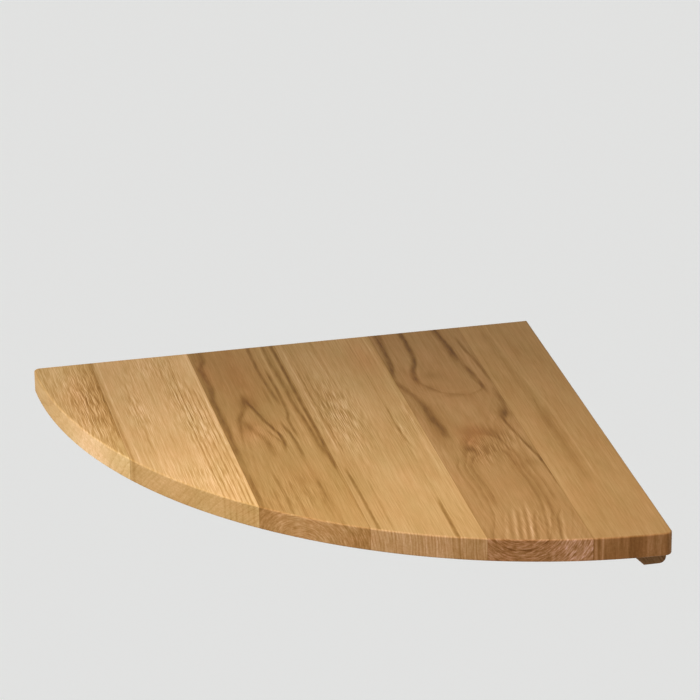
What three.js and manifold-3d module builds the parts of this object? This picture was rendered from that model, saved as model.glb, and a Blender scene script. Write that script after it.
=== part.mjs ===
// Corner shelf: a quarter-round oak panel, glued up from six staves, screwed down on two wall cleats.
// Millimetres, +Z up. The walls are the planes x = 0 and y = 0, and the shelf lies on their
// negative sides, so its round front faces -X and -Y. z = 0 is the underside of the panel, which is
// the top of the cleats and the line that is levelled on the walls.
import * as THREE from "three";
import { mergeVertices, toCreasedNormals } from "three/addons/utils/BufferGeometryUtils.js";
import Module from "manifold-3d";

// Panel
const PANEL_SIDE = 400; // length of each straight edge, which is also the radius of the front
const PANEL_THICKNESS = 18;
const PANEL_ARRIS = 1.5; // rounding of the upper and lower edges all the way round
const PANEL_TIP_ROUND = 5; // rounding, in plan, where the front meets a straight edge
const WALL_GAP = 1; // shadow gap between the panel's straight edges and the walls
// Widths of the staves, from the wall x = 0 outwards. The staves run square to the back wall.
const STAVE_WIDTH_SHARES = [0.145, 0.1825, 0.1925, 0.175, 0.1925, 0.1125];

// Cleats: one along each wall, bevelled along the lower edge that faces the room
const CLEAT_DEPTH = 23; // out from the wall
const CLEAT_HEIGHT = 15.5;
const CLEAT_BEVEL = 6.5; // leg of the 45 degree bevel
const CLEAT_ARRIS = 5; // rounding of the lower edge at the wall
const CLEAT_END_EASE = 1; // easing of the end-grain edges
const CLEAT_INSET = 19; // from the panel's tip to the cleat's outer end
const CLEAT_JOINT = 0.3; // gap where the side cleat butts against the back one

// Countersunk screws, driven up through the cleats into the panel
const SCREW_SHANK_RADIUS = 1.75; // outside of the thread
const SCREW_HEAD_RADIUS = 3.5;
const SCREW_RIM = 0.5; // straight rim round the head
const SCREW_POINT_LENGTH = 5; // conical tip
const SCREW_POINT_RADIUS = 0.3; // blunt end of the tip
const SCREW_SINK = 0.3; // the head lies this far inside the wood
const SCREW_COVER = 3.2; // wood left in the panel above the tip
const SCREW_AIR = 0.3; // round a screw, in its hole
const DRIVE_RADIUS = 1.45; // drive recess in the head, to the middle of its lobes
const DRIVE_LOBE = 0.26; // how far the lobes reach in and out from there
const DRIVE_DEPTH = 1.6;
const DRIVE_LOBES = 6;

// Countersunk holes through the cleats, for the screws that suit the wall
const WALL_HOLE_RADIUS = 2.25;
const WALL_SINK_RADIUS = 4;
const WALL_SINK_RIM = 0.5; // straight part at the mouth of the countersink

// Places along a cleat, from its end in the room corner to its outer end
const SCREW_PLACE_SHARES = [0.08, 0.45, 0.83];
const WALL_HOLE_PLACE_SHARES = [0.26, 0.64, 0.94];

const OVERRUN = 5; // how far a cutter passes the wood

// Fineness of round stretches
const FRONT_SEGMENTS = 60;
const TIP_SEGMENTS = 6;
const ARRIS_SEGMENTS = 3;
const CLEAT_SEGMENTS = 6;
const SCREW_SEGMENTS = 24;
const LOBE_SEGMENTS = 6;
const CREASE_ANGLE = THREE.MathUtils.degToRad(35);

const RIGHT_ANGLE = Math.PI / 2;
const SCREW_LENGTH = CLEAT_HEIGHT - SCREW_SINK + PANEL_THICKNESS - SCREW_COVER;
const CLEAT_REACH = WALL_GAP + PANEL_SIDE - CLEAT_INSET; // outer ends, from the room corner
const SIDE_CLEAT_START = CLEAT_DEPTH + CLEAT_JOINT;

const wasm = await Module();
wasm.setup();

// Staves from the wall x = 0 outwards, then the other pieces
const STAVE_COLOURS = [0xa8804f, 0x9c7346, 0xba9159, 0x99703f, 0xb8905c, 0xb48b56];
const oak = (colour) => new THREE.MeshStandardMaterial({ color: colour, roughness: 0.55, metalness: 0 });
const cleatOak = oak(0x9a7145);
const zincedSteel = new THREE.MeshStandardMaterial({ color: 0xb9b7ae, roughness: 0.35, metalness: 1 });

function toSolid(geometry) {
  const bare = geometry.clone();
  bare.deleteAttribute("normal");
  bare.deleteAttribute("uv");
  const merged = mergeVertices(bare);
  return new wasm.Manifold(
    new wasm.Mesh({
      numProp: 3,
      vertProperties: merged.attributes.position.array,
      triVerts: new Uint32Array(merged.index.array),
    }),
  );
}

function toMesh(name, solid, material) {
  const { vertProperties, triVerts } = solid.getMesh();
  const geometry = new THREE.BufferGeometry()
    .setAttribute("position", new THREE.BufferAttribute(vertProperties, 3))
    .setIndex(new THREE.BufferAttribute(triVerts, 1));
  const mesh = new THREE.Mesh(toCreasedNormals(geometry, CREASE_ANGLE), material);
  mesh.name = name;
  return mesh;
}

const cut = (solid, cutters) => cutters.reduce((left, cutter) => left.subtract(cutter), solid);

const arcPoints = (x, y, radius, from, to, segments) =>
  new THREE.EllipseCurve(x, y, radius, radius, from, to).getPoints(segments);

// Quarter circle about the inner corner. At each tip a fillet touches both the front and the straight edge.
function panelOutline() {
  const reach = Math.sqrt((PANEL_SIDE - PANEL_TIP_ROUND) ** 2 - PANEL_TIP_ROUND ** 2);
  const lean = Math.atan2(PANEL_TIP_ROUND, reach); // how much of the front each fillet takes
  const near = -WALL_GAP - PANEL_TIP_ROUND;
  const far = -WALL_GAP - reach;
  const leftEnd = Math.PI + lean;
  const rightEnd = Math.PI + RIGHT_ANGLE - lean;
  return new THREE.Shape([
    new THREE.Vector2(-WALL_GAP, -WALL_GAP),
    ...arcPoints(far, near, PANEL_TIP_ROUND, RIGHT_ANGLE, leftEnd, TIP_SEGMENTS),
    ...arcPoints(-WALL_GAP, -WALL_GAP, PANEL_SIDE, leftEnd, rightEnd, FRONT_SEGMENTS).slice(1, -1),
    ...arcPoints(near, far, PANEL_TIP_ROUND, rightEnd, Math.PI * 2, TIP_SEGMENTS),
  ]);
}

function panelBlank() {
  const geometry = new THREE.ExtrudeGeometry(panelOutline(), {
    depth: PANEL_THICKNESS - PANEL_ARRIS * 2,
    bevelSize: PANEL_ARRIS,
    bevelThickness: PANEL_ARRIS,
    bevelOffset: -PANEL_ARRIS,
    bevelSegments: ARRIS_SEGMENTS,
  });
  return toSolid(geometry.translate(0, 0, PANEL_ARRIS));
}

// Everything between two distances from the wall x = 0.
function strip(near, far) {
  const front = -WALL_GAP - PANEL_SIDE - OVERRUN;
  const outline = new THREE.Shape([
    new THREE.Vector2(-near, OVERRUN),
    new THREE.Vector2(-far, OVERRUN),
    new THREE.Vector2(-far, front),
    new THREE.Vector2(-near, front),
  ]);
  const block = new THREE.ExtrudeGeometry(outline, {
    depth: PANEL_THICKNESS + OVERRUN * 2,
    bevelEnabled: false,
  });
  return toSolid(block.translate(0, 0, -OVERRUN));
}

function makeStaves(holes) {
  const blank = panelBlank();
  let edge = WALL_GAP;
  return STAVE_WIDTH_SHARES.map((share, i) => {
    const near = i === 0 ? edge - OVERRUN : edge;
    edge += share * PANEL_SIDE;
    const far = i === STAVE_WIDTH_SHARES.length - 1 ? edge + OVERRUN : edge;
    const stave = cut(blank.intersect(strip(near, far)), holes);
    return toMesh(`panel_stave_${i + 1}`, stave, oak(STAVE_COLOURS[i]));
  });
}

// Cleat's section: the wall is x = 0, the panel is above y = 0, and the room lies on the side of -x.
function cleatSection() {
  return new THREE.Shape([
    new THREE.Vector2(0, 0),
    new THREE.Vector2(-CLEAT_DEPTH, 0),
    new THREE.Vector2(-CLEAT_DEPTH, CLEAT_BEVEL - CLEAT_HEIGHT),
    new THREE.Vector2(CLEAT_BEVEL - CLEAT_DEPTH, -CLEAT_HEIGHT),
    ...arcPoints(-CLEAT_ARRIS, CLEAT_ARRIS - CLEAT_HEIGHT, CLEAT_ARRIS, -RIGHT_ANGLE, 0, CLEAT_SEGMENTS),
  ]);
}

// Length of cleat, lying along +Z, with the easing of its ends inside the stated length.
function moulding(length) {
  const geometry = new THREE.ExtrudeGeometry(cleatSection(), {
    depth: length - CLEAT_END_EASE * 2,
    bevelSize: CLEAT_END_EASE,
    bevelThickness: CLEAT_END_EASE,
    bevelOffset: -CLEAT_END_EASE,
    bevelSegments: 1,
  });
  return geometry.translate(0, 0, CLEAT_END_EASE).rotateX(RIGHT_ANGLE);
}

// Each cleat knows where it starts, how its moulding is laid along its wall, how a hole is turned to
// face that wall, and where a point along it and out from the wall lies in the shelf.
const cleats = {
  back: {
    start: 0,
    lay: (blank) => blank.rotateZ(RIGHT_ANGLE).translate(-CLEAT_REACH, 0, 0),
    faceWall: (hole) => hole.rotateX(-RIGHT_ANGLE),
    point: (along, out, height) => new THREE.Vector3(-along, -out, height),
  },
  side: {
    start: SIDE_CLEAT_START,
    lay: (blank) => blank.translate(0, -SIDE_CLEAT_START, 0),
    faceWall: (hole) => hole.rotateY(RIGHT_ANGLE),
    point: (along, out, height) => new THREE.Vector3(-out, -along, height),
  },
};

const alongCleat = (cleat, share) => THREE.MathUtils.lerp(cleat.start, CLEAT_REACH, share);

// Round shape about +Z, which points into the wood.
const revolve = (profile) => new THREE.LatheGeometry(profile, SCREW_SEGMENTS).rotateX(RIGHT_ANGLE);

function countersunkCutter({ hole, sink, rim, depth }) {
  return revolve([
    new THREE.Vector2(0, -OVERRUN),
    new THREE.Vector2(sink, -OVERRUN),
    new THREE.Vector2(sink, rim),
    new THREE.Vector2(hole, rim + sink - hole),
    new THREE.Vector2(hole, depth),
    new THREE.Vector2(0, depth),
  ]);
}

// Holes for the wall screws, through the middle of the flat above the bevel.
function wallHoles(cleat) {
  return WALL_HOLE_PLACE_SHARES.map((share) => {
    const mouth = cleat.point(alongCleat(cleat, share), CLEAT_DEPTH, (CLEAT_BEVEL - CLEAT_HEIGHT) / 2);
    const cutter = countersunkCutter({
      hole: WALL_HOLE_RADIUS,
      sink: WALL_SINK_RADIUS,
      rim: WALL_SINK_RIM,
      depth: CLEAT_DEPTH + OVERRUN,
    });
    return toSolid(cleat.faceWall(cutter).translate(...mouth));
  });
}

// Middles of the heads of the screws in a cleat, in the middle of its flat underside.
function screwHeads(cleat) {
  const out = (CLEAT_ARRIS + CLEAT_DEPTH - CLEAT_BEVEL) / 2;
  const height = SCREW_SINK - CLEAT_HEIGHT;
  return SCREW_PLACE_SHARES.map((share) => cleat.point(alongCleat(cleat, share), out, height));
}

// Hole for a screw, through the cleat and on into the panel, where it ends blind.
function screwHole(head) {
  const cutter = countersunkCutter({
    hole: SCREW_SHANK_RADIUS + SCREW_AIR,
    sink: SCREW_HEAD_RADIUS + SCREW_AIR,
    rim: SCREW_RIM,
    depth: SCREW_LENGTH + SCREW_AIR,
  });
  return toSolid(cutter.translate(...head));
}

// Star-shaped recess for the driver. It sinks into the head from below z = 0.
function driveRecess() {
  const count = DRIVE_LOBES * LOBE_SEGMENTS;
  const star = Array.from({ length: count }, (_, i) => {
    const angle = (i / count) * Math.PI * 2;
    const radius = DRIVE_RADIUS + DRIVE_LOBE * Math.cos(DRIVE_LOBES * angle);
    return new THREE.Vector2(radius * Math.cos(angle), radius * Math.sin(angle));
  });
  const depth = OVERRUN + DRIVE_DEPTH;
  const cutter = new THREE.ExtrudeGeometry(new THREE.Shape(star), { depth, bevelEnabled: false });
  return toSolid(cutter.translate(0, 0, -OVERRUN));
}

// Screw pointing along +Z from the middle of its head.
function screwSolid() {
  const body = revolve([
    new THREE.Vector2(0, 0),
    new THREE.Vector2(SCREW_HEAD_RADIUS, 0),
    new THREE.Vector2(SCREW_HEAD_RADIUS, SCREW_RIM),
    new THREE.Vector2(SCREW_SHANK_RADIUS, SCREW_RIM + SCREW_HEAD_RADIUS - SCREW_SHANK_RADIUS),
    new THREE.Vector2(SCREW_SHANK_RADIUS, SCREW_LENGTH - SCREW_POINT_LENGTH),
    new THREE.Vector2(SCREW_POINT_RADIUS, SCREW_LENGTH),
    new THREE.Vector2(0, SCREW_LENGTH),
  ]);
  return toSolid(body).subtract(driveRecess());
}

function makeCleat(name, cleat) {
  const blank = toSolid(cleat.lay(moulding(CLEAT_REACH - cleat.start)));
  const holes = [...wallHoles(cleat), ...screwHeads(cleat).map(screwHole)];
  return toMesh(`${name}_cleat`, cut(blank, holes), cleatOak);
}

function makeScrews(name, cleat) {
  const solid = screwSolid();
  return screwHeads(cleat).map((head, i) => {
    const screw = toMesh(`${name}_cleat_screw_${i + 1}`, solid, zincedSteel);
    screw.position.copy(head);
    return screw;
  });
}

const shelf = new THREE.Group();
shelf.name = "corner_shelf";
shelf.add(...makeStaves(Object.values(cleats).flatMap(screwHeads).map(screwHole)));
for (const [name, cleat] of Object.entries(cleats)) {
  shelf.add(makeCleat(name, cleat), ...makeScrews(name, cleat));
}

export default shelf;
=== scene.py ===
"""Corner shelf in oak: six glued staves on two bevelled cleats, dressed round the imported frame.

Everything is in metres, +Z up, with the origin in the room corner, level with the panel's underside.
Names that end in _MM are in millimetres. Wood is worked out in millimetres too, from three distances:
across is how far a point lies from the side wall, along how far from the back wall, and deep how far
below the top face. In the back cleat, whose grain runs along the back wall, across and along change
places.
"""

import math
from dataclasses import dataclass, field

import bmesh
import bpy
from mathutils import Matrix, Vector, noise


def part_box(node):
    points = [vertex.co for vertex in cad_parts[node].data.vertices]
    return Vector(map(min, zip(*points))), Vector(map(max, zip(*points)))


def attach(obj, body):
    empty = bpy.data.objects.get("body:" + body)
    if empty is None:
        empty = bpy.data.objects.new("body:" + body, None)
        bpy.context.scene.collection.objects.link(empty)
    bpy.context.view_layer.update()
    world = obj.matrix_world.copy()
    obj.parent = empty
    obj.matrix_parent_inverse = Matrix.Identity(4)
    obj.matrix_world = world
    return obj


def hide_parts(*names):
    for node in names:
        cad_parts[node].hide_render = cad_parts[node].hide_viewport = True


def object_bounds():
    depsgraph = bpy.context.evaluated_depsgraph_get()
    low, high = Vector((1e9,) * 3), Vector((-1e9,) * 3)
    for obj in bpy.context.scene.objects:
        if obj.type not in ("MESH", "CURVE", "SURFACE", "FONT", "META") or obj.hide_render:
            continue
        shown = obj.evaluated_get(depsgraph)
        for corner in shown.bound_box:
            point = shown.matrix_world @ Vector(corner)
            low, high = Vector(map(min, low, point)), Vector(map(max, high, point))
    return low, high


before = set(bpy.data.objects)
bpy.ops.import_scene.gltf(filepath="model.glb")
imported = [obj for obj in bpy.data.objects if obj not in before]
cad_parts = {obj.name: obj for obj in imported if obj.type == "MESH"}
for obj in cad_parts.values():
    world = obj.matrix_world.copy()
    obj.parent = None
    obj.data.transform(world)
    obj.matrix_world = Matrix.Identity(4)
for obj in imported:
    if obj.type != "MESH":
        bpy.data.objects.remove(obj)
cad_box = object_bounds()
top_face = cad_box[1].z

MM = 0.001
QUARTER = math.pi / 2

# Camera, where the photograph was taken from
CAMERA_PLACE = (-0.7616, -2.7726, 1.2317)
CAMERA_YAW = math.radians(12.507)
CAMERA_DOWN = math.radians(23.332)
CAMERA_ROLL = math.radians(-0.605)
CAMERA_LENS_MM = 199.4
CAMERA_SENSOR_MM = 36.0

# Floor
FLOOR_Z = -3.6
FLOOR_SIZE = 60.0
FLOOR_COLOUR = "f8f9f9"
FLOOR_ROUGHNESS = 0.9

# Light: a soft key from the left, an even room, and a soft box above the front
KEY_FROM = (-0.92, -0.12, 0.26)
KEY_STRENGTH = 2.3
KEY_SOFTNESS = math.radians(50)
KEY_COLOUR = "fffaf2"
ROOM_STRENGTH = 0.65
ROOM_COLOUR = "f6f7f8"
SOFTBOX_PLACE = (-0.22, -0.36, 0.36)
SOFTBOX_SIZE = (0.50, 0.16)
SOFTBOX_POWER = 2.2

# Panel. The wave is the unevenness of an arris eased by hand.
SIDE_MM = 400.0
TIP_ROUND_MM = 5.0
ARRIS_MM = 1.5
ARRIS_UNEVEN_SHARE = 0.22
ARRIS_WAVE_MM = 37.0
ARRIS_STEPS = 7
FRONT_STEPS = 260
TIP_STEPS = 12
EDGE_STEPS = 80
TOP_STRIPS = 16

# Cleats. Widths of holes and sinks are radii.
CLEAT_BEVEL_MM = 6.5
CLEAT_ARRIS_MM = 5.0
CLEAT_EDGE_MM = 0.5
CLEAT_LEAST_EDGE_MM = 0.05
CLEAT_END_EASE_MM = 1.0
CLEAT_STEPS = 6
WALL_HOLE_MM = 2.25
WALL_SINK_MM = 4.0
WALL_SINK_RIM_MM = 0.5
WALL_HOLE_PLACE_SHARES = (0.26, 0.64, 0.94)

# Screws. Widths are radii.
SCREW_HEAD_MM = 3.5
SCREW_RIM_MM = 0.5
SCREW_RIM_SOFT_MM = 0.12
SCREW_RIM_MIDDLE_SHARE = 0.3
SCREW_SHANK_MM = 1.75
SCREW_CORE_MM = 1.1
SCREW_NECK_MM = 1.3
SCREW_NECK_TAPER_MM = 0.4
SCREW_AIR_MM = 0.3
THREAD_PITCH_MM = 1.8
THREAD_FLANK_SHARE = 0.24
THREAD_START_MM = 9.0
THREAD_STEPS_PER_TURN = 14
POINT_MM = 5.0
POINT_CORE_MM = 0.15
POINT_SHANK_SHARE = 0.1
DRIVE_MM = 1.45
DRIVE_LOBE_MM = 0.26
DRIVE_DEPTH_MM = 1.6
DRIVE_FLOOR_SHARE = 0.2
DRIVE_CONE_MM = 0.5
DRIVE_LOBES = 6
ROUND_STEPS = 48

# Cutting and shading of meshes
OVERRUN_MM = 5.0
CUT_TOLERANCE = 1e-7
SHARP_ANGLE = math.radians(32)


# Meshes

def make_object(name, data):
    thing = bpy.data.objects.new(name, data)
    bpy.context.scene.collection.objects.link(thing)
    return thing


def mesh_from_bmesh(name, work):
    bmesh.ops.recalc_face_normals(work, faces=work.faces)
    mesh = bpy.data.meshes.new(name)
    work.to_mesh(mesh)
    work.free()
    return mesh


def loft(rings):
    """Closed bmesh through rings of as many points each, in metres, with flat ends."""
    work = bmesh.new()
    loops = [[work.verts.new(point) for point in ring] for ring in rings]
    for lower, upper in zip(loops, loops[1:]):
        for i in range(len(lower)):
            j = (i + 1) % len(lower)
            work.faces.new((lower[i], lower[j], upper[j], upper[i]))
    work.faces.new(loops[0])
    work.faces.new(loops[-1])
    return work


def carve(piece, cutters):
    """Cuts the cutters out of the piece, and throws them away."""
    for cutter in cutters:
        modifier = piece.modifiers.new("cut", "BOOLEAN")
        modifier.operation = "DIFFERENCE"
        modifier.solver = "EXACT"
        modifier.object = cutter
    view = bpy.context.evaluated_depsgraph_get()
    mesh = bpy.data.meshes.new_from_object(piece.evaluated_get(view))
    piece.modifiers.clear()
    piece.data = mesh
    for cutter in cutters:
        bpy.data.objects.remove(cutter)


def shade(piece):
    """Smooth curves, crisp edges, and flat faces that stay flat beside a rounded edge."""
    mesh = piece.data
    mesh.polygons.foreach_set("use_smooth", [True] * len(mesh.polygons))
    mesh.set_sharp_from_angle(angle=SHARP_ANGLE)
    modifier = piece.modifiers.new("flat faces stay flat", "WEIGHTED_NORMAL")
    modifier.keep_sharp = True


def dress(piece, node, material):
    """Puts a finished piece in the place of its CAD node."""
    piece.data.materials.clear()
    piece.data.materials.append(material)
    shade(piece)
    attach(piece, "root")
    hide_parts(node)


# Shapes of the panel

def arc(centre, radius, start, end, steps):
    """Points of an arc with their outward directions."""
    found = []
    for i in range(steps + 1):
        angle = start + (end - start) * i / steps
        outward = Vector((math.cos(angle), math.sin(angle)))
        found.append((Vector(centre) + outward * radius, outward))
    return found


def straight(start, end, outward, steps):
    """Points between two places, without the places themselves, with their outward direction."""
    return [(Vector(start).lerp(Vector(end), i / steps), Vector(outward)) for i in range(1, steps)]


def panel_outline(gap):
    """Quarter circle with filleted tips, in millimetres, as points with their outward directions."""
    reach = math.sqrt((SIDE_MM - TIP_ROUND_MM) ** 2 - TIP_ROUND_MM**2)
    lean = math.atan2(TIP_ROUND_MM, reach)
    corner = (-gap, -gap)
    near, far = -gap - TIP_ROUND_MM, -gap - reach
    left_end = math.pi + lean
    right_end = math.pi + QUARTER - lean
    return [
        (Vector(corner), Vector((1, 1))),
        *straight(corner, (far, -gap), (0, 1), EDGE_STEPS),
        *arc((far, near), TIP_ROUND_MM, QUARTER, left_end, TIP_STEPS),
        *arc(corner, SIDE_MM, left_end, right_end, FRONT_STEPS)[1:-1],
        *arc((near, far), TIP_ROUND_MM, right_end, 2 * math.pi, TIP_STEPS),
        *straight((-gap, far), corner, (1, 0), EDGE_STEPS),
    ]


def panel_blank(gap, low, high):
    """Whole panel as a bmesh, gap millimetres off both walls, from height low to height high."""
    outline = panel_outline(gap)
    rings = []
    for level in (low, high):
        is_top = level == high
        arris = []
        for step in range(ARRIS_STEPS + 1):
            turn = QUARTER * step / ARRIS_STEPS
            ring = []
            for point, outward in outline:
                wave = noise.noise(Vector((point.x, point.y, level / MM)) / ARRIS_WAVE_MM)
                radius = ARRIS_MM * (1 - ARRIS_UNEVEN_SHARE * (0.5 + 0.5 * wave))
                place = point - outward * radius * (1 - math.sin(turn))
                rise = radius * (1 - math.cos(turn)) * MM
                ring.append((place.x * MM, place.y * MM, level - rise if is_top else level + rise))
            arris.append(ring)
        rings += reversed(arris) if is_top else arris
    return loft(rings)


def cut_plane(work, place, normal, drop=False):
    """Cuts along a plane. With drop, what lies on the normal's side goes, and the cut is closed."""
    everything = work.verts[:] + work.edges[:] + work.faces[:]
    cut = bmesh.ops.bisect_plane(
        work, geom=everything, dist=CUT_TOLERANCE, plane_co=place, plane_no=normal, clear_outer=drop
    )
    if drop:
        edges = [item for item in cut["geom_cut"] if isinstance(item, bmesh.types.BMEdge)]
        bmesh.ops.holes_fill(work, edges=edges, sides=0)


def make_stave(name, blank, low_x, high_x, is_first, is_last):
    """Stave cut from the whole panel along its glue lines, with its faces divided along its length."""
    work = blank.copy()
    if not is_first:
        cut_plane(work, (high_x, 0, 0), (1, 0, 0), drop=True)
    if not is_last:
        cut_plane(work, (low_x, 0, 0), (-1, 0, 0), drop=True)
    for i in range(1, TOP_STRIPS):
        cut_plane(work, (0, -i / TOP_STRIPS * SIDE_MM * MM, 0), (0, 1, 0))
    return make_object(name, mesh_from_bmesh(name, work))


# Round shapes. All are drawn in millimetres about +Z and then placed.

def lathe(name, rows, place, radius_at=None):
    """Round solid through rows of (radius, height). radius_at can change a row's radius with the angle."""
    rings = []
    for radius, height in rows:
        ring = []
        for i in range(ROUND_STEPS):
            angle = 2 * math.pi * i / ROUND_STEPS
            here = radius_at(radius, height, angle) if radius_at else radius
            point = Vector((here * math.cos(angle), here * math.sin(angle), height)) * MM
            ring.append(place @ point)
        rings.append(ring)
    return make_object(name, mesh_from_bmesh(name, loft(rings)))


def countersunk_cutter(hole, sink, rim, depth, place):
    rows = [(sink, -OVERRUN_MM), (sink, rim), (hole, rim + sink - hole), (hole, depth)]
    return lathe("cutter", rows, place)


def screw_cutter(screw):
    return countersunk_cutter(
        SCREW_SHANK_MM + SCREW_AIR_MM,
        SCREW_HEAD_MM + SCREW_AIR_MM,
        SCREW_RIM_MM,
        screw.length + SCREW_AIR_MM,
        screw.place,
    )


def drive_cutter(place):
    """Star-shaped recess with a coned floor."""
    def lobed(radius, height, angle):
        return radius * (1 + DRIVE_LOBE_MM / DRIVE_MM * math.cos(DRIVE_LOBES * angle))

    rows = [
        (DRIVE_MM, -OVERRUN_MM),
        (DRIVE_MM, DRIVE_DEPTH_MM),
        (DRIVE_MM * DRIVE_FLOOR_SHARE, DRIVE_DEPTH_MM + DRIVE_CONE_MM),
    ]
    return lathe("cutter", rows, place, lobed)


def make_screw(name, place, length):
    """Countersunk screw: head with a softened rim, smooth neck, coarse thread that runs out to the point."""
    def thread(radius, height, angle):
        if height < THREAD_START_MM:
            return radius
        turn = (height / THREAD_PITCH_MM - angle / (2 * math.pi)) % 1.0
        crest = max(0.0, 1.0 - abs(turn - 0.5) / THREAD_FLANK_SHARE)
        taper = min(1.0, (length - height) / POINT_MM)
        run_in = min(1.0, (height - THREAD_START_MM) / THREAD_PITCH_MM)
        core = max(POINT_CORE_MM, SCREW_CORE_MM * taper)
        return core + (SCREW_SHANK_MM * max(taper, POINT_SHANK_SHARE) - core) * crest * run_in

    rim_middle = SCREW_RIM_SOFT_MM * SCREW_RIM_MIDDLE_SHARE
    rows = [
        (SCREW_HEAD_MM - SCREW_RIM_SOFT_MM, 0.0),
        (SCREW_HEAD_MM - rim_middle, rim_middle),
        (SCREW_HEAD_MM, SCREW_RIM_SOFT_MM),
        (SCREW_HEAD_MM, SCREW_RIM_MM),
        (SCREW_NECK_MM, SCREW_RIM_MM + SCREW_HEAD_MM - SCREW_NECK_MM),
        (SCREW_NECK_MM, THREAD_START_MM - SCREW_NECK_TAPER_MM),
        (SCREW_CORE_MM, THREAD_START_MM),
    ]
    threaded = length - THREAD_START_MM
    steps = round(threaded / THREAD_PITCH_MM * THREAD_STEPS_PER_TURN)
    rows += [(SCREW_CORE_MM, THREAD_START_MM + threaded * i / steps) for i in range(1, steps + 1)]
    screw = lathe(name, rows, place, thread)
    carve(screw, [drive_cutter(place)])
    return screw


@dataclass
class Screw:
    """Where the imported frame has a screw. It points up, and its place is the middle of its head's face."""

    node: str
    box: tuple

    @property
    def length(self):
        return (self.box[1].z - self.box[0].z) / MM

    @property
    def place(self):
        middle = (self.box[0] + self.box[1]) / 2
        return Matrix.Translation((middle.x, middle.y, self.box[0].z))


# Shapes of the cleats

def rounded_polygon(corners, inset):
    """Polygon from (x, y, rounding) corners taken anticlockwise, moved in by inset and rounded."""
    points = []
    for i, (x, y, rounding) in enumerate(corners):
        here = Vector((x, y))
        arrive = (here - Vector(corners[i - 1][:2])).normalized()
        leave = (Vector(corners[(i + 1) % len(corners)][:2]) - here).normalized()
        normal_in = Vector((-arrive.y, arrive.x))
        normal_out = Vector((-leave.y, leave.x))
        middle = (normal_in + normal_out) / (1 + normal_in.dot(normal_out))
        radius = max(rounding - inset, CLEAT_LEAST_EDGE_MM)
        centre = here + middle * (inset + radius)
        start = math.atan2(-normal_in.y, -normal_in.x)
        turn = math.acos(max(-1.0, min(1.0, normal_in.dot(normal_out))))
        for step in range(CLEAT_STEPS + 1):
            angle = start + turn * step / CLEAT_STEPS
            points.append(centre + radius * Vector((math.cos(angle), math.sin(angle))))
    return points


def cleat_blank(name, depth, height, length, to_shelf):
    """Bevelled moulding with eased ends. to_shelf takes how far out, how high and how far along."""
    corners = [
        (0.0, 0.0, CLEAT_EDGE_MM),
        (-depth, 0.0, CLEAT_EDGE_MM),
        (-depth, CLEAT_BEVEL_MM - height, CLEAT_EDGE_MM),
        (CLEAT_BEVEL_MM - depth, -height, CLEAT_EDGE_MM),
        (0.0, -height, CLEAT_ARRIS_MM),
    ]
    stations = []
    for step in range(CLEAT_STEPS + 1):
        turn = QUARTER * step / CLEAT_STEPS
        ease = CLEAT_END_EASE_MM
        stations.append((ease * (1 - math.cos(turn)), ease * (1 - math.sin(turn))))
    stations += [(length - along, inset) for along, inset in reversed(stations)]
    rings = [
        [to_shelf(point.x, point.y, along) * MM for point in rounded_polygon(corners, inset)]
        for along, inset in stations
    ]
    return make_object(name, mesh_from_bmesh(name, loft(rings)))


# Shading. A Number stands for what a material works out at each point of a surface.

def connect(tree, value, plug):
    if isinstance(value, Number):
        tree.links.new(value.socket, plug)
    elif isinstance(value, bpy.types.NodeSocket):
        tree.links.new(value, plug)
    else:
        plug.default_value = value


class Number:
    """Arithmetic on a Number adds Math nodes to its material."""

    def __init__(self, tree, socket):
        self.tree = tree
        self.socket = socket

    def math(self, operation, *others):
        node = self.tree.nodes.new("ShaderNodeMath")
        node.operation = operation
        for plug, value in zip(node.inputs, (self, *others)):
            connect(self.tree, value, plug)
        return Number(self.tree, node.outputs[0])

    def __add__(self, other):
        return self.math("ADD", other)

    def __sub__(self, other):
        return self.math("SUBTRACT", other)

    def __mul__(self, other):
        return self.math("MULTIPLY", other)

    def __truediv__(self, other):
        return self.math("DIVIDE", other)

    def power(self, other):
        return self.math("POWER", other)

    def scaled(self, factor, offset):
        return self.math("MULTIPLY_ADD", factor, offset)

    def flipped(self):
        """One minus the number."""
        return self.scaled(-1.0, 1.0)

    def smooth(self, low, high):
        """0 at low, 1 at high, and a smooth step between. Low may be the larger of the two."""
        node = self.tree.nodes.new("ShaderNodeMapRange")
        node.interpolation_type = "SMOOTHSTEP"
        connect(self.tree, self, node.inputs["Value"])
        connect(self.tree, low, node.inputs["From Min"])
        connect(self.tree, high, node.inputs["From Max"])
        return Number(self.tree, node.outputs["Result"])

    def curve(self, points, start, end, low, high):
        """Value of a curve through (place, height) points, with places from start to end."""
        node = self.tree.nodes.new("ShaderNodeFloatCurve")
        line = node.mapping.curves[0]
        shares = [
            ((place - start) / (end - start), (height - low) / (high - low))
            for place, height in points
        ]
        while len(line.points) < len(shares):
            line.points.new(0.5, 0.5)
        for point, share in zip(line.points, shares):
            point.location = share
            point.handle_type = "AUTO_CLAMPED"
        node.mapping.update()
        share = self.scaled(1 / (end - start), -start / (end - start))
        connect(self.tree, share, node.inputs["Value"])
        return Number(self.tree, node.outputs[0]).scaled(high - low, low)


@dataclass
class Grain:
    """Noise with blobs so many millimetres across, along and deep. Detail and rough add finer blobs."""

    size: tuple
    detail: float = 2.0
    rough: float = 0.5


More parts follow.
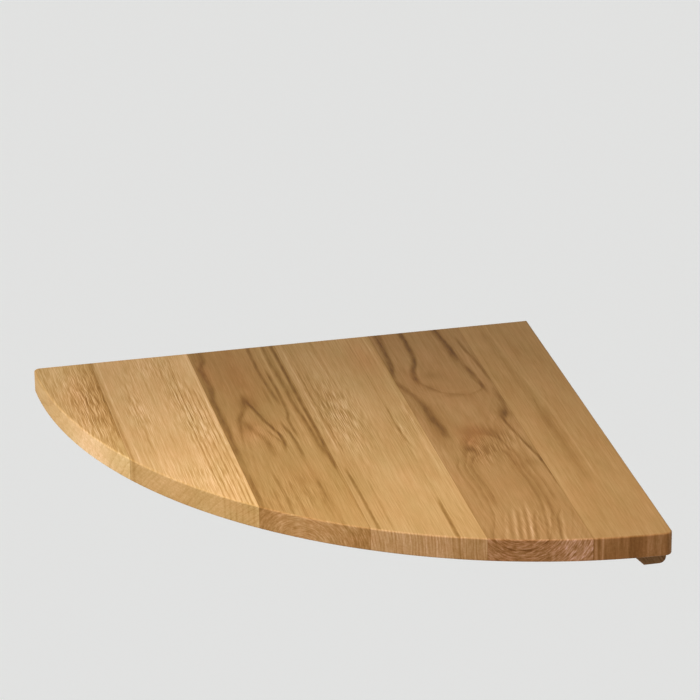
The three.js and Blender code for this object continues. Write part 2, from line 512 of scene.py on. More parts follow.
def mottle(across, along, deep, grain):
    """Noise from -1 to 1."""
    tree = across.tree
    place = tree.nodes.new("ShaderNodeCombineXYZ")
    for plug, value, size in zip(place.inputs, (across, along, deep), grain.size):
        connect(tree, value / size, plug)
    node = tree.nodes.new("ShaderNodeTexNoise")
    node.inputs["Scale"].default_value = 1.0
    node.inputs["Detail"].default_value = grain.detail
    node.inputs["Roughness"].default_value = grain.rough
    tree.links.new(place.outputs[0], node.inputs["Vector"])
    return Number(tree, node.outputs[0]).scaled(2.0, -1.0)


def blend(tree, share, first, second, mode="MIX"):
    """Colour between two colours. A Mix node has plugs for each kind of value, and these are for colour."""
    node = tree.nodes.new("ShaderNodeMix")
    node.data_type = "RGBA"
    node.blend_type = mode
    node.clamp_factor = True
    connect(tree, share, node.inputs[0])
    connect(tree, first, node.inputs[6])
    connect(tree, second, node.inputs[7])
    return node.outputs[2]


def rgb(code):
    """Linear colour from a hexadecimal sRGB one."""
    parts = [int(code[i : i + 2], 16) / 255 for i in (0, 2, 4)]
    return tuple(p / 12.92 if p <= 0.04045 else ((p + 0.055) / 1.055) ** 2.4 for p in parts) + (1.0,)


def new_material(name):
    material = bpy.data.materials.new(name)
    material.use_nodes = True
    tree = material.node_tree
    return material, tree, tree.nodes["Principled BSDF"]


def add_bump(tree, shader, height, reach_mm, strength):
    """Makes a surface look uneven. reach_mm is how high a height of 1 stands."""
    node = tree.nodes.new("ShaderNodeBump")
    node.inputs["Distance"].default_value = reach_mm * MM
    node.inputs["Strength"].default_value = strength
    connect(tree, height, node.inputs["Height"])
    tree.links.new(node.outputs[0], shader.inputs["Normal"])


def surface_places(tree, along_axis):
    """Distances across, along and deep, then how far the face looks along the grain, and up or down.

    along_axis is the axis that the grain follows.
    """
    coordinates = tree.nodes.new("ShaderNodeTexCoord")
    parts = tree.nodes.new("ShaderNodeSeparateXYZ")
    tree.links.new(coordinates.outputs["Object"], parts.inputs[0])
    x, y, z = (Number(tree, output) * (1 / MM) for output in parts.outputs)
    normal = tree.nodes.new("ShaderNodeSeparateXYZ")
    tree.links.new(coordinates.outputs["Normal"], normal.inputs[0])
    normal_x, normal_y, normal_z = (Number(tree, output).math("ABSOLUTE") for output in normal.outputs)
    deep = z * -1.0 + top_face / MM
    if along_axis == "Y":
        return x * -1.0, y * -1.0, deep, normal_y, normal_z
    return y * -1.0, x * -1.0, deep, normal_x, normal_z


# How a piece was sawn, and its marks. Strengths and darkness are shares, and lengths are millimetres.

@dataclass
class Year:
    """Growth ring that stands out: its radius from the pith, and where along the grain it shows."""

    radius: float
    darkness: float
    start: float = -60.0
    end: float = 460.0
    width: float = 1.0


@dataclass
class Streak:
    """Line along the grain, through (along, across) points. A negative darkness makes it pale.

    fade says how many times softer the line is on the side away from the side wall.
    """

    points: list
    darkness: float
    width: float = 0.8
    fade: float = 1.0


@dataclass
class Patch:
    """Soft oval patch: a stain, a blush, more flecks, or a knot that bends the rings round it."""

    across: float
    along: float
    half_width: float
    half_length: float
    strength: float


@dataclass
class Timber:
    """How a piece was sawn from its log, and what it looks like.

    The growth rings are tubes round the pith, which runs along the grain at pith_across from the side
    wall and pith_deep below the top face. Both wander, as (along, place) points. The rings lie ring
    apart, and sway, ripple and curl bend them, from slow bends to tight ones. dash, bands and the names
    that start with end_ are for the end grain. The end grain's tone and its stains also hold painted light
    and shade: set below zero they make an edge paler than its face, as painted light from the left; set
    above zero they darken it, partly as end grain does and partly as painted shade. shift moves the noise
    along, so no two pieces are alike.
    """

    light: str
    pith_across: list
    pith_deep: list
    years: list = field(default_factory=list)
    streaks: list = field(default_factory=list)
    stains: list = field(default_factory=list)
    # Stains on the end grain; a pale one can be painted light on the edge.
    end_stains_and_painted_light: list = field(default_factory=list)
    blushes: list = field(default_factory=list)
    flecked: list = field(default_factory=list)
    knots: list = field(default_factory=list)
    ring: float = 2.6
    ring_share: float = 0.16
    sway: float = 1.5
    ripple: float = 0.2
    curl: float = 0.0
    fleck: float = 0.08
    dash: float = 0.45
    bands: float = 0.0
    end_lines: float = 0.5
    # Tone of the end grain; below zero it paints the edge paler, as painted light, above zero darker, partly
    # as painted shade.
    end_tone_and_painted_light: float = 0.2
    end_blush: float = 0.0
    shift: float = 0.0


# Noise that bends and breaks the lines of the grain
CURL_GRAIN = Grain((9.0, 12.0, 9.0), 1.0)
SWAY_GRAIN = Grain((38.0, 130.0, 38.0), 1.0)
FRAY_GRAIN = Grain((0.8, 11.0, 0.8))
FRAY_MM = 0.55
RIPPLE_GRAIN = Grain((5.0, 22.0, 5.0))
SPACING_GRAIN = Grain((16.0, 90.0, 16.0), 1.0)
SPACING_SHARE = 0.35
BREAK_GRAIN = Grain((3.0, 14.0, 3.0))
BREAK_SHARE = 0.7

# Growth rings. Starts and ends are shares of a ring, or of a year's width.
RING_START = 0.08
RING_THINNING = 2.5
RING_LEAST_SHARE = 0.2
YEAR_START = -0.5
YEAR_DARKEST = 0.1
YEAR_END = 2.6

# Lines along the grain. They fade out at both ends, and those that are drawn also on the end grain.
LINE_FADE_MM = 12.0
STREAK_REACH = 1.7
STREAK_CURL_SHARE = 0.4
CURVE_MARGIN_MM = 1.0
END_GRAIN_FADE = 0.85

# Flecks
FLECK_GRAIN = Grain((0.65, 20.0, 3.5), 1.0)
FLECK_SOFTNESS = 0.32
FLECK_UPRIGHT_SHARE = 0.3

# Dashes and bands of the end grain
DASH_GRAIN = Grain((6.0, 8.0, 1.1), 2.0, 0.6)
DASH_RADIUS_MM = 60.0
BAND_GRAIN = Grain((4.5, 170.0, 60.0))

# Pores, which are thicker where the grain's lines are dark
PORE_GRAIN = Grain((0.20, 3.2, 0.20), 1.0)
PORE_EDGES = (0.30, 0.50)
PORE_LEAST_SHARE = 0.25
PORE_LINE_SHARE = 1.2

# Fine streaks, fibres and clouds, and how much each part of the figure darkens the wood
STREAK_GRAIN = Grain((1.5, 170.0, 1.5), 3.0, 0.6)
FIBRE_GRAIN = Grain((0.35, 22.0, 0.35), 2.0, 0.6)
CLOUD_GRAIN = Grain((24.0, 85.0, 24.0))
STREAK_DARKNESS = 0.16
FIBRE_DARKNESS = 0.09
CLOUD_DARKNESS = 0.13
PORE_DARKNESS = 0.5

# Worn arris with a painted highlight, where the face turns over between these shares of level
ARRIS_FROM_UPRIGHT = (0.05, 0.5)
ARRIS_TO_LEVEL = (0.75, 0.98)
ARRIS_CLOUD_SHARE = 0.4
ARRIS_WEAR_AND_HIGHLIGHT = 0.05

# Glue lines
GLUE_EDGES_MM = (0.05, 0.35)
GLUE_DARKNESS = 0.25

# Redness
BLUSH_GRAIN = Grain((14.0, 45.0, 14.0), 1.0)
BLUSH_SHARE = 0.8

# How strongly darkness and a blush change red, green and blue
DARKENING = (1.25, 1.63, 2.9)
BLUSHING = (0.05, -0.03, -0.02)

# Oiled surface
OAK_SPECULAR = 0.14
OAK_ROUGHNESS = 0.55
OAK_PORE_ROUGHNESS = 0.25
OAK_STREAK_ROUGHNESS = 0.04
OAK_CLOUD_ROUGHNESS = 0.03
OAK_BUMP_MM = 0.10
OAK_BUMP_STRENGTH = 0.9
OAK_FIBRE_HEIGHT = 0.12
OAK_STREAK_HEIGHT = 0.1
OAK_LINE_HEIGHT = 0.3

# Zinc plating
ZINC_COLOURS = ("c9c6ba", "aeb2b5")
ZINC_CLOUD_GRAIN = Grain((2.2, 2.2, 2.2), 3.0)
ZINC_MARK_GRAIN = Grain((0.25, 0.25, 0.25))
ZINC_ROUGHNESS = 0.33
ZINC_CLOUD_ROUGHNESS = 0.08
ZINC_MARK_ROUGHNESS = 0.05
ZINC_BUMP_MM = 0.02
ZINC_BUMP_STRENGTH = 0.5


def total(parts, start):
    for part in parts:
        start = part + start
    return start


def window(place, start, end):
    """1 between start and end, and 0 well outside."""
    reach = (end - start) / 2
    beside = (place - (start + reach)).math("ABSOLUTE")
    return beside.smooth(reach + LINE_FADE_MM, reach - LINE_FADE_MM)


def path_along(along, points):
    """Value of a smooth curve through (along, value) points."""
    values = [value for _, value in points]
    low, high = min(values) - CURVE_MARGIN_MM, max(values) + CURVE_MARGIN_MM
    return along.curve(points, points[0][0], points[-1][0], low, high)


def year_line(radius, along, year):
    """Band of pores: it starts sharply on the side of the pith, and thins out away from it."""
    offset = (radius - year.radius) / year.width
    band = offset.smooth(YEAR_START, YEAR_DARKEST) * offset.smooth(YEAR_DARKEST, YEAR_END).flipped()
    return band * window(along, year.start, year.end) * year.darkness


def streak_line(across, along, streak):
    """Line along the grain, darkest in its middle, that fades out at both ends."""
    offset = across - path_along(along, streak.points)
    if streak.fade == 1.0:
        beside = offset.math("ABSOLUTE")
    else:
        beside = (offset * (1 / streak.fade)).math("MAXIMUM", offset * -1.0)
    shown = window(along, streak.points[0][0], streak.points[-1][0])
    return beside.smooth(streak.width * STREAK_REACH, 0.0) * shown * streak.darkness


def patch(across, along, spot):
    beside = across.scaled(1 / spot.half_width, -spot.across / spot.half_width)
    ahead = along.scaled(1 / spot.half_length, -spot.along / spot.half_length)
    squared = ahead.math("MULTIPLY_ADD", ahead, beside * beside)
    return (squared * -1.0).math("EXPONENT") * spot.strength


class Wood:
    """A timber inside one material. Its Numbers are what the figure is worked out from."""

    def __init__(self, tree, timber, along_axis):
        self.tree = tree
        self.timber = timber
        places = surface_places(tree, along_axis)
        self.across, self.along, self.deep, self.end_share, self.level_share = places
        self.on_face = self.end_share.scaled(-END_GRAIN_FADE, 1.0)
        self.curl = self.mottle(CURL_GRAIN) * timber.curl
        self.sway = self.mottle(SWAY_GRAIN) * timber.sway + self.curl
        self.fray = self.mottle(FRAY_GRAIN) * FRAY_MM
        self.sideways = self.across - path_along(self.along, timber.pith_across) + self.sway
        self.upright = path_along(self.along, timber.pith_deep) - self.deep
        straight_radius = (self.sideways * self.sideways + self.upright * self.upright).math("SQRT")
        rippled_radius = straight_radius + self.mottle(RIPPLE_GRAIN) * timber.ripple
        self.radius = self.with_patches(timber.knots, rippled_radius)

    def mottle(self, grain):
        """Noise from -1 to 1, at another place in each timber."""
        return mottle(self.across, self.along + self.timber.shift, self.deep, grain)

    def with_patches(self, spots, start):
        """Sum of start and the patches, whose edges follow the curl."""
        return total([patch(self.across + self.curl, self.along, spot) for spot in spots], start)

    def ring_lines(self):
        """Band of pores in each growth ring, of uneven strength."""
        phase = self.radius / self.timber.ring + self.mottle(SPACING_GRAIN) * SPACING_SHARE
        in_ring = phase.math("FRACT")
        white = self.tree.nodes.new("ShaderNodeTexWhiteNoise")
        white.noise_dimensions = "1D"
        connect(self.tree, phase.math("FLOOR") + self.timber.shift, white.inputs["W"])
        strength = Number(self.tree, white.outputs["Value"]) * (1 - RING_LEAST_SHARE) + RING_LEAST_SHARE
        pored = in_ring.flipped().power(RING_THINNING) * in_ring.smooth(0.0, RING_START)
        return pored * strength * self.timber.ring_share

    def lines(self):
        """All lines of the grain: growth rings, and on the faces the drawn streaks."""
        years = [year_line(self.radius + self.fray, self.along, year) for year in self.timber.years]
        lines = total(years, self.ring_lines())
        lines = lines * (self.end_share * self.timber.end_lines + 1.0)
        drawn_across = self.across + self.fray + self.curl * STREAK_CURL_SHARE
        drawn = [streak_line(drawn_across, self.along, streak) for streak in self.timber.streaks]
        if drawn:
            lines = lines + total(drawn[1:], drawn[0]) * self.on_face
        return lines * self.mottle(BREAK_GRAIN).scaled(BREAK_SHARE, 1.0)

    def flecks(self):
        """Rays cut lengthwise. They show on the faces, and less where a face is upright."""
        place = (self.across + self.sway, self.along + self.timber.shift, self.deep)
        flecks = mottle(*place, FLECK_GRAIN).smooth(-FLECK_SOFTNESS, FLECK_SOFTNESS) - 0.5
        strength = self.with_patches(self.timber.flecked, self.on_face * self.timber.fleck)
        return flecks * (strength * self.level_share.scaled(1 - FLECK_UPRIGHT_SHARE, FLECK_UPRIGHT_SHARE))

    def dashes(self):
        """Short dashes round the pith, for the end grain."""
        bearing = self.sideways.math("ARCTAN2", self.upright.math("ABSOLUTE"))
        round_pith = bearing * self.radius.math("MINIMUM", DASH_RADIUS_MM)
        return mottle(round_pith, self.along, self.radius, DASH_GRAIN) * self.timber.dash

    def pores(self, lines):
        amount = lines.math("MAXIMUM", 0.0) * PORE_LINE_SHARE + PORE_LEAST_SHARE
        return self.mottle(PORE_GRAIN).smooth(*PORE_EDGES) * amount

    def worn_and_highlit_arris(self, clouds):
        """How pale the arris is: partly wear, partly a painted highlight."""
        turned = self.level_share.smooth(*ARRIS_FROM_UPRIGHT) - self.level_share.smooth(*ARRIS_TO_LEVEL)
        return turned * (clouds * ARRIS_CLOUD_SHARE + (1 - ARRIS_CLOUD_SHARE)) * ARRIS_WEAR_AND_HIGHLIGHT

    def blush(self):
        blush = self.mottle(BLUSH_GRAIN) * BLUSH_SHARE + self.end_share * self.timber.end_blush
        return self.with_patches(self.timber.blushes, blush)


def wood_colour(tree, light, darkness, blush):
    """Light colour behind a darkness, which takes most from the blue. A blush makes it redder."""
    parts = tree.nodes.new("ShaderNodeCombineColor")
    for plug, strength, change in zip(parts.inputs, DARKENING, BLUSHING):
        connect(tree, (blush * change - darkness * strength).math("EXPONENT"), plug)
    return blend(tree, 1.0, rgb(light), parts.outputs[0], "MULTIPLY")


def oak(name, timber, along_axis="Y", glue_lines=()):
    """Oiled oak, cut from a log as the timber says."""
    material, tree, shader = new_material(name)
    wood = Wood(tree, timber, along_axis)
    lines = wood.lines()
    streaks = wood.mottle(STREAK_GRAIN)
    fibres = wood.mottle(FIBRE_GRAIN)
    clouds = wood.mottle(CLOUD_GRAIN)
    dashes = wood.dashes()
    pores = wood.pores(lines)

    fine = lines + streaks * STREAK_DARKNESS + fibres * FIBRE_DARKNESS + clouds * CLOUD_DARKNESS
    # End grain's tone and stains, which also hold painted light and shade on the front edge.
    on_ends = dashes + wood.mottle(BAND_GRAIN) * timber.bands + timber.end_tone_and_painted_light
    on_ends = wood.with_patches(timber.end_stains_and_painted_light, on_ends) * wood.end_share
    darkness = fine + wood.flecks() + on_ends + pores * PORE_DARKNESS
    # The arris is made paler: wear together with a painted highlight.
    darkness = wood.with_patches(timber.stains, darkness) - wood.worn_and_highlit_arris(clouds)
    for glue_line in glue_lines:
        seam = (wood.across - glue_line).math("ABSOLUTE").smooth(*GLUE_EDGES_MM).flipped()
        darkness = darkness + seam * GLUE_DARKNESS
    colour = wood_colour(tree, timber.light, darkness, wood.blush())
    tree.links.new(colour, shader.inputs["Base Color"])

    roughness = pores * OAK_PORE_ROUGHNESS + streaks * OAK_STREAK_ROUGHNESS
    roughness = roughness + clouds * OAK_CLOUD_ROUGHNESS + OAK_ROUGHNESS
    connect(tree, roughness, shader.inputs["Roughness"])
    shader.inputs["Specular IOR Level"].default_value = OAK_SPECULAR
    height = fibres * OAK_FIBRE_HEIGHT + streaks * OAK_STREAK_HEIGHT
    height = height - pores - lines * OAK_LINE_HEIGHT - dashes * wood.end_share
    add_bump(tree, shader, height, OAK_BUMP_MM, OAK_BUMP_STRENGTH)
    return material


def zinc(name):
    """Bright zinc plating: a little cloudy, with fine marks."""
    material, tree, shader = new_material(name)
    place = surface_places(tree, "Y")[:3]
    clouds = mottle(*place, ZINC_CLOUD_GRAIN)
    marks = mottle(*place, ZINC_MARK_GRAIN)
    colour = blend(tree, clouds * 0.5 + 0.5, *(rgb(code) for code in ZINC_COLOURS))
    tree.links.new(colour, shader.inputs["Base Color"])
    shader.inputs["Metallic"].default_value = 1.0
    roughness = clouds * ZINC_CLOUD_ROUGHNESS + marks * ZINC_MARK_ROUGHNESS + ZINC_ROUGHNESS
    connect(tree, roughness, shader.inputs["Roughness"])
    add_bump(tree, shader, marks, ZINC_BUMP_MM, ZINC_BUMP_STRENGTH)
    return material


# The timber of each piece

def fanned(start, across, darkness, width):
    """Line near the front of stave 2, where the grain fans out."""
    points = [(start, across), (355, across + 3), (375, across + 7), (420, across + 16)]
    return Streak(points, darkness, width)


# From the side wall outwards
# Where the end grain's tone is set below zero, an edge is painted paler than its face: painted light.
STAVES = [
    Timber(
        light="896639",
        pith_across=[(0, -60), (400, -52)],
        pith_deep=[(0, 8), (400, 2)],
        streaks=[
            Streak([(-30, 37.5), (40, 36), (80, 35.5), (130, 31.5), (200, 27.5), (300, 28)], -0.08, 0.9, 1.8),
            Streak([(20, 42), (100, 38.5), (190, 36), (300, 36)], 0.09, 4.0),
            Streak([(-30, 56), (260, 56.5), (420, 57)], -0.05, 1.4),
            Streak([(150, 36.2), (172, 37.6)], 0.16, 0.7),
        ],
        stains=[Patch(38, 196, 5, 16, 0.14), Patch(34, 228, 5, 14, 0.08), Patch(22, 60, 12, 60, 0.04)],
        end_stains_and_painted_light=[
            Patch(57.2, 396, 0.9, 30, -0.42), Patch(54.9, 396, 0.8, 30, 0.22),
            Patch(52.4, 396, 0.7, 30, -0.30), Patch(40, 396, 10, 40, 0.05), Patch(8, 399, 12, 40, -0.12),
        ],
        ring=2.2, ring_share=0.08, sway=2.5, dash=0.2, bands=0.55,
        end_lines=0.4, end_tone_and_painted_light=0.17, end_blush=2.4, shift=11.0,
    ),
    Timber(
        light="846136",
        pith_across=[
            (0, 92), (30, 91), (55, 90.5), (75, 92), (95, 92.8), (110, 90), (122, 86), (133, 84.5), (150, 89),
            (175, 92), (197, 95.5), (245, 95), (265, 97), (300, 95), (335, 96), (360, 101), (400, 114),
        ],
        pith_deep=[
            (0, -22.8), (30, -21.8), (55, -21.1), (75, -19.4), (95, -17.4), (110, -18.6), (122, -21.3),
            (133, -26.8), (150, -28), (175, -30), (197, -31.6), (220, -29), (245, -25.5), (265, -24),
            (290, -24), (400, -23),
        ],
        years=[
            Year(26.5, 0.16, -60, 126, 1.6),
            Year(31.6, 0.18, 190, 460),
            Year(28.6, 0.20, 236, 330, 1.2),
            Year(41.4, 0.24, -60, 90, 1.3),
            Year(35.5, 0.16, 240, 330, 0.8),
        ],
        streaks=[
            Streak([(-30, 79.5), (12, 78), (30, 75.8), (48, 75), (62, 75)], 0.42, 1.7, 1.8),
            Streak([(30, 77), (60, 77), (80, 73.5), (95, 70.5)], 0.13, 3.4),
            Streak([(84, 70.6), (105, 69), (130, 67.6)], 0.34, 1.6),
            Streak([(26, 65.5), (48, 64), (75, 61), (90, 60.5), (110, 59)], 0.30, 1.5),
            Streak(
                [(-30, 106.5), (25, 105.5), (50, 106.5), (65, 109.5), (85, 115), (102, 116)],
                0.37, 1.8, 1.5,
            ),
            Streak([(-30, 123), (35, 126), (60, 128), (85, 131.5)], 0.30, 2.2, 1.4),
            Streak(
                [(94, 132.5), (115, 127), (130, 123.5), (145, 121.5), (170, 121), (190, 118), (206, 118)],
                0.30, 2.6,
            ),
            Streak([(140, 120.5), (175, 119), (200, 118.5)], 0.18, 4.6),
            Streak([(128, 59.3), (150, 59.8), (165, 62.5), (182, 67.5)], 0.29, 2.0, 2.0),
            Streak([(172, 69.5), (205, 66.5), (230, 63.5), (262, 59.6), (304, 58.5)], 0.37, 1.2),
            Streak([(196, 68.8), (230, 65.4), (266, 61.3)], -0.13, 1.0),
            Streak([(228, 62), (266, 58)], 0.15, 2.8),
            *(
                fanned(start, across, -paleness, 1.1)
                for start, across, paleness in (
                    (342, 67.5, 0.16), (322, 77, 0.14), (332, 85, 0.10), (330, 91.3, 0.26),
                    (334, 96.5, 0.14), (338, 102.5, 0.18), (344, 109.5, 0.12),
                )
            ),
            *(
                fanned(start, across, darkness, 1.2)
                for start, across, darkness in (
                    (348, 70.7, 0.26), (334, 80, 0.18), (346, 88.2, 0.20), (338, 94, 0.18),
                    (340, 99.6, 0.16), (338, 106, 0.14),
                )
            ),
        ],
        stains=[
            Patch(106, 230, 3.5, 6, 0.40), Patch(64, 172, 4, 8, 0.32), Patch(80, 206, 7, 8, 0.18),
            Patch(94, 130, 9, 4, 0.14), Patch(109, 113, 6, 7, 0.14), Patch(103, 90, 6, 6, 0.12),
            Patch(68, 262, 9, 8, 0.14), Patch(124, 190, 6, 35, 0.10), Patch(95, 225, 18, 28, 0.10),
        ],
        blushes=[Patch(95, 200, 12, 14, 1.8), Patch(103, 217, 6, 10, 1.2), Patch(96, 112, 30, 40, 0.5)],
        flecked=[Patch(97, 236, 15, 22, 0.40), Patch(76, 215, 13, 22, 0.30), Patch(95, 358, 26, 26, 0.12)],
        knots=[Patch(103, 234, 8, 11, 2.0), Patch(82, 212, 7, 12, -1.4)],
        end_stains_and_painted_light=[Patch(118, 384, 14, 40, 0.10), Patch(68, 394, 12, 40, -0.16)],
        ring=3.3, ring_share=0.12, sway=0.8, ripple=0.35, curl=0.5, dash=0.9, end_tone_and_painted_light=-0.14, end_blush=2.3,
        shift=57.0,
    ),
    Timber(
        light="957345",
        pith_across=[(0, 330), (400, 326)],
        pith_deep=[(0, 30), (400, 22)],
        streaks=[
            Streak([(-30, 137), (60, 136.5), (260, 136.5)], -0.09, 1.3),
            Streak([(-30, 132.8), (90, 132.3), (120, 132)], 0.14, 1.2),
            Streak([(-30, 181), (60, 179), (120, 178)], 0.12, 1.2),
            Streak([(20, 183.5), (70, 181)], -0.08, 1.2),
            Streak([(-30, 152), (120, 150), (260, 150), (420, 151)], 0.10),
            Streak([(140, 149.5), (170, 150), (206, 148.7)], 0.24, 0.8),
            Streak([(165, 147.3), (206, 146.6)], -0.18, 0.8),
            Streak([(310, 151), (420, 152)], 0.38, 1.3),
            Streak([(-30, 204.5), (100, 204.2), (210, 203)], -0.14, 0.9),
            Streak([(55, 201.5), (130, 201), (210, 199)], 0.22, 0.8),
            Streak([(60, 196.5), (100, 196), (140, 195)], 0.20, 0.7),
            Streak([(244, 204.3), (300, 203.3), (352, 203.3)], 0.42, 1.2),
            Streak([(265, 193), (345, 193)], 0.18),
        ],
        stains=[Patch(143, 55, 7, 45, 0.08), Patch(165, 150, 8, 40, -0.06), Patch(193, 122, 5, 22, 0.06)],
        blushes=[Patch(146, 45, 12, 50, 0.9)],
        flecked=[Patch(188, 142, 15, 58, 0.50), Patch(148, 185, 5, 24, 0.28), Patch(136, 160, 4, 30, 0.2)],
        end_stains_and_painted_light=[Patch(141, 372, 10, 40, 0.10), Patch(198, 345, 14, 40, -0.04)],
        ring=2.1, ring_share=0.12, sway=2.0, dash=0.4, end_lines=1.6, end_tone_and_painted_light=-0.16, end_blush=1.4,
        shift=23.0,
    ),
    Timber(
        light="8e6b3b",
        pith_across=[(0, 250), (60, 251), (100, 251.5), (120, 252.2), (140, 253.6), (180, 253.5), (400, 250)],
        pith_deep=[
            (0, 34.4), (60, 33.4), (100, 31), (120, 30.6), (140, 29.5), (180, 27.4), (260, 24), (400, 22),
        ],
        years=[Year(30.9, 0.14, 95, 215, 0.7), Year(47.9, 0.12), Year(33.5, 0.14, 200, 460, 1.2)],
        streaks=[
            Streak(
                [(-30, 268), (20, 270), (40, 274), (70, 273.3), (100, 276), (130, 275.6), (200, 277)],
                0.33, 2.4,
            ),
            Streak([(-30, 273), (60, 276), (200, 277.5), (420, 278)], 0.14, 3.4),
            Streak(
                [(103, 250.8), (111, 250), (120, 248.6), (140, 245.4), (160, 241), (178, 238), (194, 239.5)],
                0.46, 1.1, 1.5,
            ),
            Streak([(96, 252.5), (106, 253), (117, 256), (127, 260), (140, 264), (165, 266)], 0.19, 2.6),
            Streak([(134, 262), (158, 257), (175, 251.5), (200, 250)], 0.20, 2.6),
            Streak([(163, 246), (186, 239.5)], 0.27, 1.0),
            Streak([(153, 233.4), (175, 230.7), (206, 229.5)], 0.44, 1.4),
            Streak([(-30, 230), (40, 231), (80, 230), (110, 228)], 0.34, 1.5),
            Streak([(55, 225), (90, 224.5), (130, 225), (150, 227.3), (175, 226)], 0.34, 1.2),
            Streak([(-30, 217.5), (30, 219), (80, 217.5), (125, 217), (145, 215.5), (210, 214)], 0.33, 1.5),
            Streak([(-30, 212.5), (50, 211.4), (105, 211.2), (145, 210.8), (235, 210.6)], 0.47, 1.5),
            Streak([(-30, 222), (100, 221.5), (200, 220)], -0.09, 1.2),
            Streak([(-30, 214.6), (100, 213.6), (200, 212.6)], -0.08, 1.0),
            Streak([(82, 234.5), (108, 234)], 0.17, 1.0),
            Streak([(236, 258), (262, 257), (275, 256.5), (310, 257.5)], 0.24, 1.2),
            Streak([(240, 276.5), (276, 276.5)], 0.19, 1.6),
            Streak([(254, 249.5), (300, 248.5), (330, 248)], 0.17, 1.4),
            Streak([(250, 240.5), (290, 239.5)], 0.12, 2.6),
            Streak([(254, 229), (290, 228.5)], 0.17, 1.2),
            Streak([(280, 231), (318, 230)], 0.13, 1.2),
            Streak([(270, 264), (306, 263)], 0.17, 1.0),
        ],
        stains=[
            Patch(252.5, 106, 3.5, 8, 0.16), Patch(254, 35, 20, 60, 0.10), Patch(259, 151, 3.5, 8, 0.17),
            Patch(250.5, 186, 3, 7, 0.10),
        ],
        blushes=[Patch(272, 40, 5, 22, 1.0), Patch(258, 160, 14, 22, 1.2), Patch(252, 50, 20, 60, 1.2)],
        flecked=[Patch(245, 168, 30, 22, 0.14), Patch(248, 275, 26, 30, 0.18)],
        end_stains_and_painted_light=[Patch(211, 339, 9, 40, 0.14), Patch(274, 291, 5, 30, 0.08)],
        ring=3.2, ring_share=0.10, sway=0.7, dash=0.6, end_lines=0.2, end_tone_and_painted_light=-0.11, end_blush=1.4,
        shift=41.0,
    ),
    Timber(
        light="b18b5a",
        pith_across=[(0, 226), (400, 220)],
        pith_deep=[(0, 74), (400, 62)],
        streaks=[
            Streak([(-30, 281), (160, 280.8), (300, 280.5)], -0.10, 0.7),
            Streak([(-30, 351), (60, 351.5), (130, 350), (200, 349)], -0.11, 0.7),
            Streak([(-30, 355.5), (30, 354.6), (60, 354.2), (200, 354)], 0.22, 1.0),
            *(
                Streak([(start, across), (150, across - 0.5), (300, across - 1.5)], 0.24, 0.6)
                for start, across in (
                    (85, 283.8), (70, 287), (50, 290.6), (75, 294.5), (30, 298), (60, 301.5),
                )
            ),
            Streak([(20, 305.5), (100, 305), (170, 304)], 0.11, 0.7),
            Streak([(40, 337.5), (110, 337), (180, 336)], 0.11, 0.8),
            Streak([(10, 321), (90, 320), (170, 319)], 0.08, 0.8),
        ],
        flecked=[
            Patch(300, 90, 10, 75, 0.28), Patch(335, 100, 9, 50, 0.28), Patch(314, 20, 16, 22, 0.20),
            Patch(290, 145, 10, 40, 0.24), Patch(305, 230, 30, 30, 0.22),
        ],
        ring=2.4, ring_share=0.12, sway=1.5, curl=0.5, dash=0.2, end_tone_and_painted_light=0.09, end_blush=-0.6,
        shift=71.0,
    ),
    Timber(
        light="b4905b",
        pith_across=[(0, 300), (400, 294)],
        pith_deep=[(0, 34), (400, 24)],
        streaks=[
            Streak([(-30, 357.6), (60, 357), (150, 356.6)], 0.30, 1.4),
            Streak([(-30, 363), (20, 362.3), (50, 361.5)], 0.16, 1.0),
            Streak([(30, 372.5), (70, 371), (120, 369.5)], 0.20, 1.0),
            Streak([(50, 380), (100, 379)], 0.16, 0.9),
            Streak([(25, 382.5), (60, 382)], -0.12, 1.2),
        ],
        stains=[Patch(363, 80, 15, 85, 0.21), Patch(368, 168, 12, 14, 0.06)],
        blushes=[Patch(372, 80, 18, 80, 1.2)],
        # This pale patch and the end grain's tone below zero paint light from the left on the edge at the
        # left tip.
        end_stains_and_painted_light=[Patch(376, 130, 40, 75, -0.50)],
        flecked=[Patch(368, 82, 14, 60, 0.46)],
        ring=3.4, ring_share=0.14, sway=2.0, ripple=0.5, curl=0.9, fleck=0.2, dash=0.12, end_tone_and_painted_light=-0.22,
        end_blush=-0.8, shift=97.0,
    ),
]
# Cleat oak painted darker than the staves: painted shade under the panel and against the wall.
CLEAT_WOOD_IN_PAINTED_SHADE = Timber(
    light="7d5b3c",
    pith_across=[(0, 40), (400, 43)],
    pith_deep=[(0, 60), (400, 50)],
    ring=2.4, ring_share=0.3, end_tone_and_painted_light=0.15, shift=131.0,
)


# The scene, thing by thing

def make_camera():
    camera = make_object("camera", bpy.data.cameras.new("camera"))
    camera.data.lens = CAMERA_LENS_MM
    camera.data.sensor_width = CAMERA_SENSOR_MM
    camera.location = CAMERA_PLACE
    turn = Matrix.Rotation(-CAMERA_YAW, 3, "Z") @ Matrix.Rotation(QUARTER - CAMERA_DOWN, 3, "X")
    camera.rotation_euler = (turn @ Matrix.Rotation(CAMERA_ROLL, 3, "Z")).to_euler()
    bpy.context.scene.camera = camera


def make_floor():
    bpy.ops.mesh.primitive_plane_add(size=FLOOR_SIZE, location=(0, 0, FLOOR_Z))
    floor = bpy.context.object
    floor.name = "floor"
    material, _, shader = new_material("floor")
    shader.inputs["Base Color"].default_value = rgb(FLOOR_COLOUR)
    shader.inputs["Roughness"].default_value = FLOOR_ROUGHNESS
    floor.data.materials.append(material)


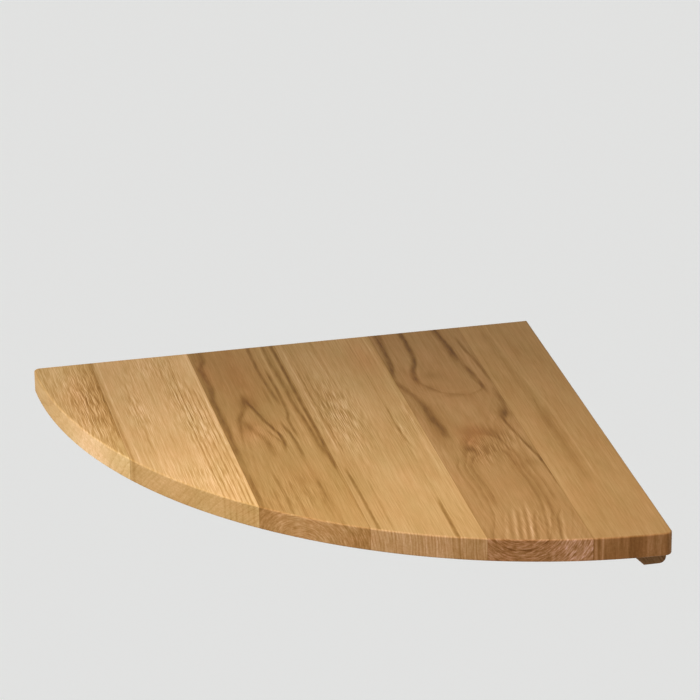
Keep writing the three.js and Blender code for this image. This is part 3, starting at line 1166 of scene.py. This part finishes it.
def make_lights():
    sun = bpy.data.lights.new("key", "SUN")
    sun.energy = KEY_STRENGTH
    sun.angle = KEY_SOFTNESS
    sun.color = rgb(KEY_COLOUR)[:3]
    key = make_object("key", sun)
    key.rotation_euler = Vector(KEY_FROM).to_track_quat("Z", "Y").to_euler()
    area = bpy.data.lights.new("softbox", "AREA")
    area.shape = "RECTANGLE"
    area.size, area.size_y = SOFTBOX_SIZE
    area.energy = SOFTBOX_POWER
    softbox = make_object("softbox", area)
    softbox.location = SOFTBOX_PLACE
    softbox.visible_camera = False


def make_room():
    world = bpy.data.worlds.new("room")
    world.use_nodes = True
    background = world.node_tree.nodes["Background"]
    background.inputs["Color"].default_value = rgb(ROOM_COLOUR)
    background.inputs["Strength"].default_value = ROOM_STRENGTH
    bpy.context.scene.world = world
    bpy.context.scene.view_settings.view_transform = "Standard"


def make_panel(screws):
    nodes = sorted(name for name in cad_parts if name.startswith("panel_stave"))
    boxes = [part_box(node) for node in nodes]
    panel_low, panel_high = boxes[0]
    blank = panel_blank(-panel_high.x / MM, panel_low.z, panel_high.z)
    for i, (node, (low, high), timber) in enumerate(zip(nodes, boxes, STAVES)):
        is_first, is_last = i == 0, i == len(nodes) - 1
        name = f"oak_stave_{i + 1}"
        stave = make_stave(name, blank, low.x, high.x, is_first, is_last)
        inside = [screw for screw in screws if low.x < screw.box[0].x and screw.box[1].x < high.x]
        if inside:
            carve(stave, [screw_cutter(screw) for screw in inside])
        glue_lines = []
        if not is_first:
            glue_lines.append(-high.x / MM)
        if not is_last:
            glue_lines.append(-low.x / MM)
        dress(stave, node, oak(name, timber, glue_lines=glue_lines))
    blank.free()


def make_cleat(node, along_axis, screws):
    """Cleat with the holes for its own screws and for those that go into the wall."""
    low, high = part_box(node)
    size = (high - low) / MM
    if along_axis == "X":
        depth, length, start = size.y, size.x, -high.x / MM
        towards_wall = Matrix.Rotation(-QUARTER, 4, "X")
    else:
        depth, length, start = size.x, size.y, -high.y / MM
        towards_wall = Matrix.Rotation(QUARTER, 4, "Y")

    def to_shelf(out, up, along):
        """Place of a point of the moulding, in millimetres. out is negative away from the wall."""
        if along_axis == "X":
            return Vector((-start - along, out, up))
        return Vector((out, -start - along, up))

    name = f"oak_{node}"
    cleat = cleat_blank(name, depth, size.z, length, to_shelf)
    cutters = [screw_cutter(screw) for screw in screws if screw.node.startswith(node)]
    for share in WALL_HOLE_PLACE_SHARES:
        mouth = to_shelf(-depth, (CLEAT_BEVEL_MM - size.z) / 2, share * length) * MM
        place = Matrix.Translation(mouth) @ towards_wall
        through = depth + OVERRUN_MM
        cutters.append(countersunk_cutter(WALL_HOLE_MM, WALL_SINK_MM, WALL_SINK_RIM_MM, through, place))
    carve(cleat, cutters)
    dress(cleat, node, oak(name, CLEAT_WOOD_IN_PAINTED_SHADE, along_axis))


def make_screws(screws):
    steel = zinc("zinc_plated_steel")
    for screw in screws:
        piece = make_screw(f"steel_{screw.node}", screw.place, screw.length)
        dress(piece, screw.node, steel)


def main():
    screws = [Screw(name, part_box(name)) for name in sorted(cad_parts) if "screw" in name]
    make_camera()
    make_floor()
    make_lights()
    make_room()
    make_panel(screws)
    make_cleat("back_cleat", "X", screws)
    make_cleat("side_cleat", "Y", screws)
    make_screws(screws)


main()
